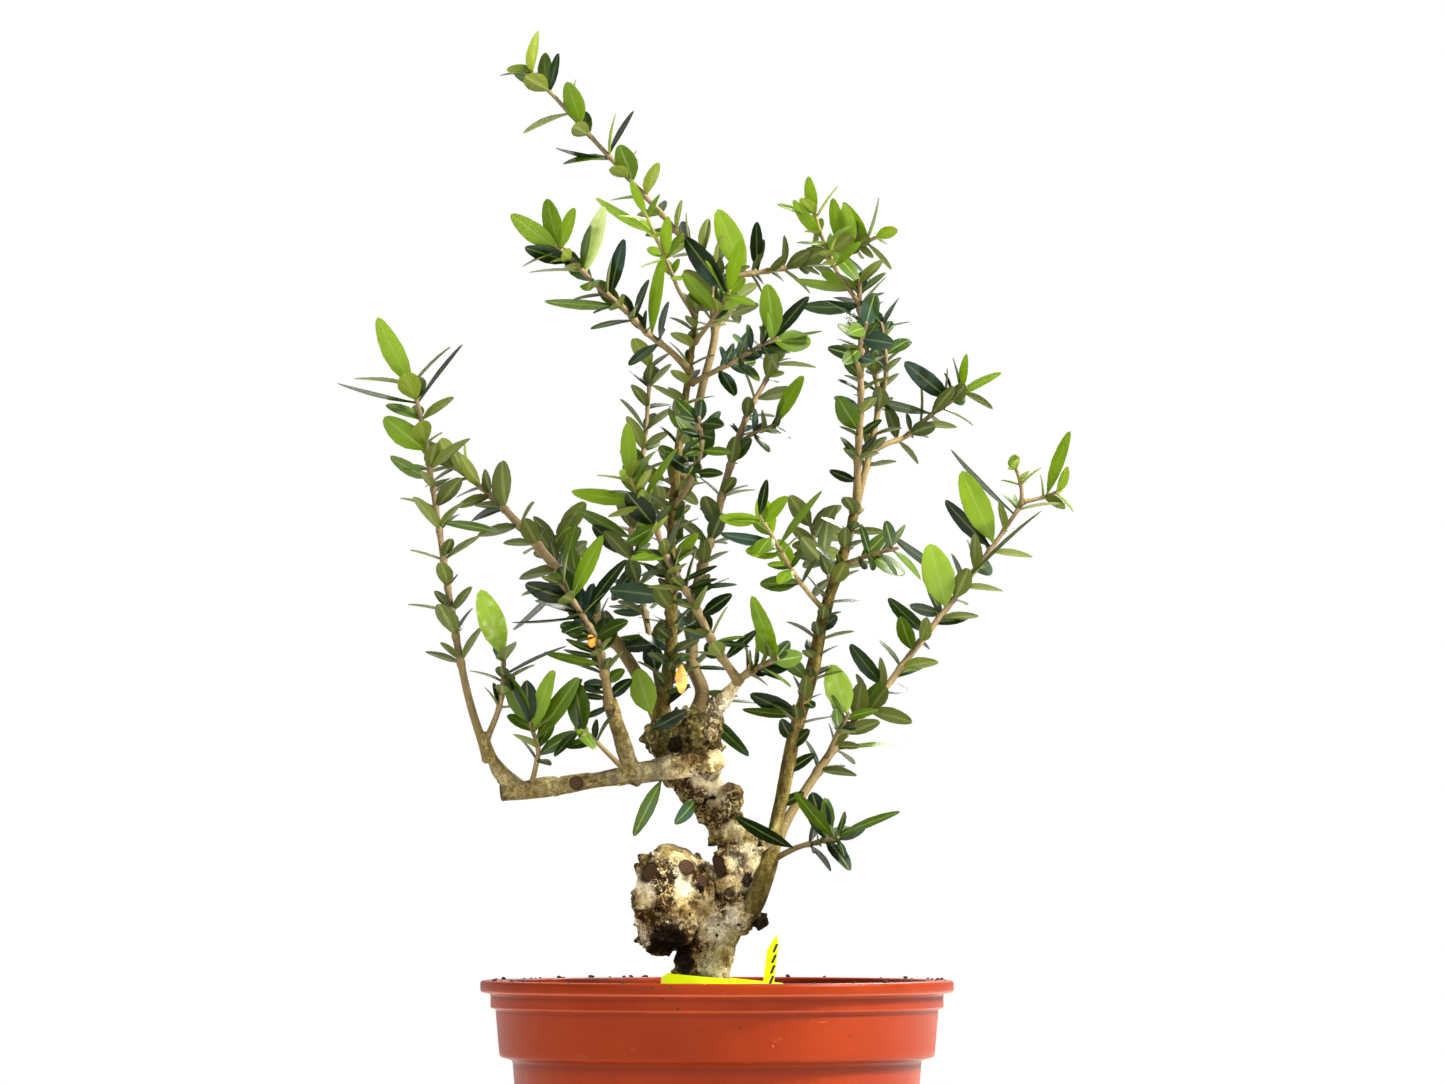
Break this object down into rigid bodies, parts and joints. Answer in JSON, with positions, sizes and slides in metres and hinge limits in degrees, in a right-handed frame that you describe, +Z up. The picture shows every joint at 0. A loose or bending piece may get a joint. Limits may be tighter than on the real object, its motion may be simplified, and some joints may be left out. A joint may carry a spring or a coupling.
{
  "type": "potted olive tree",
  "caption": "Small old olive tree with a gnarled trunk, a level sawn bough and leafy upright shoots, in a round plastic nursery pot.",
  "frame": {"origin": "centre of the pot's base, on the surface that it stands on", "axes": "+Z up along the pot's axis; the front of the plant faces -Y and the level bough points to -X"},
  "size_m": [0.2994, 0.189, 0.5322],
  "materials": {
    "pot_plastic": "matt terracotta-coloured plastic with scuffs and dust",
    "soil": "dark crumbly potting compost",
    "label_plastic": "bright yellow-green plastic strap",
    "bark": "rough mottled cream, olive and brown bark",
    "leaf": "leathery leaves, dark and slightly glossy above, grey-green below, lime-green when young"
  },
  "bodies": {
    "root": {"pot": "pot_plastic", "potting_soil": "soil", "plant_label": "label_plastic", "trunk": "bark", "bough_right": "bark", "bough_centre": "bark", "left_tall": "leaf", "left_rear": "leaf", "left_front": "leaf", "bough_end": "leaf", "bough_knot": "leaf", "bough_twig": "leaf", "leader": "leaf", "pale_thin": "leaf", "centre_top": "leaf", "upper_left": "leaf", "upper_right": "leaf", "top_right": "leaf", "right_left": "leaf", "right_left_side": "leaf", "right_right": "leaf", "right_fork": "leaf", "right_level": "leaf", "right_long": "leaf", "right_long_bud": "leaf", "right_long_tip": "leaf", "right_inner": "leaf", "right_low": "leaf", "middle_right": "leaf", "middle_front": "leaf", "rear_long": "leaf", "rear_side": "leaf", "rear_left": "leaf", "front_right": "leaf", "right_short": "leaf", "back_centre": "leaf", "back_right": "leaf", "front_centre": "leaf", "back_top": "leaf", "back_left": "leaf", "front_right_high": "leaf"}
  },
  "joints": []
}
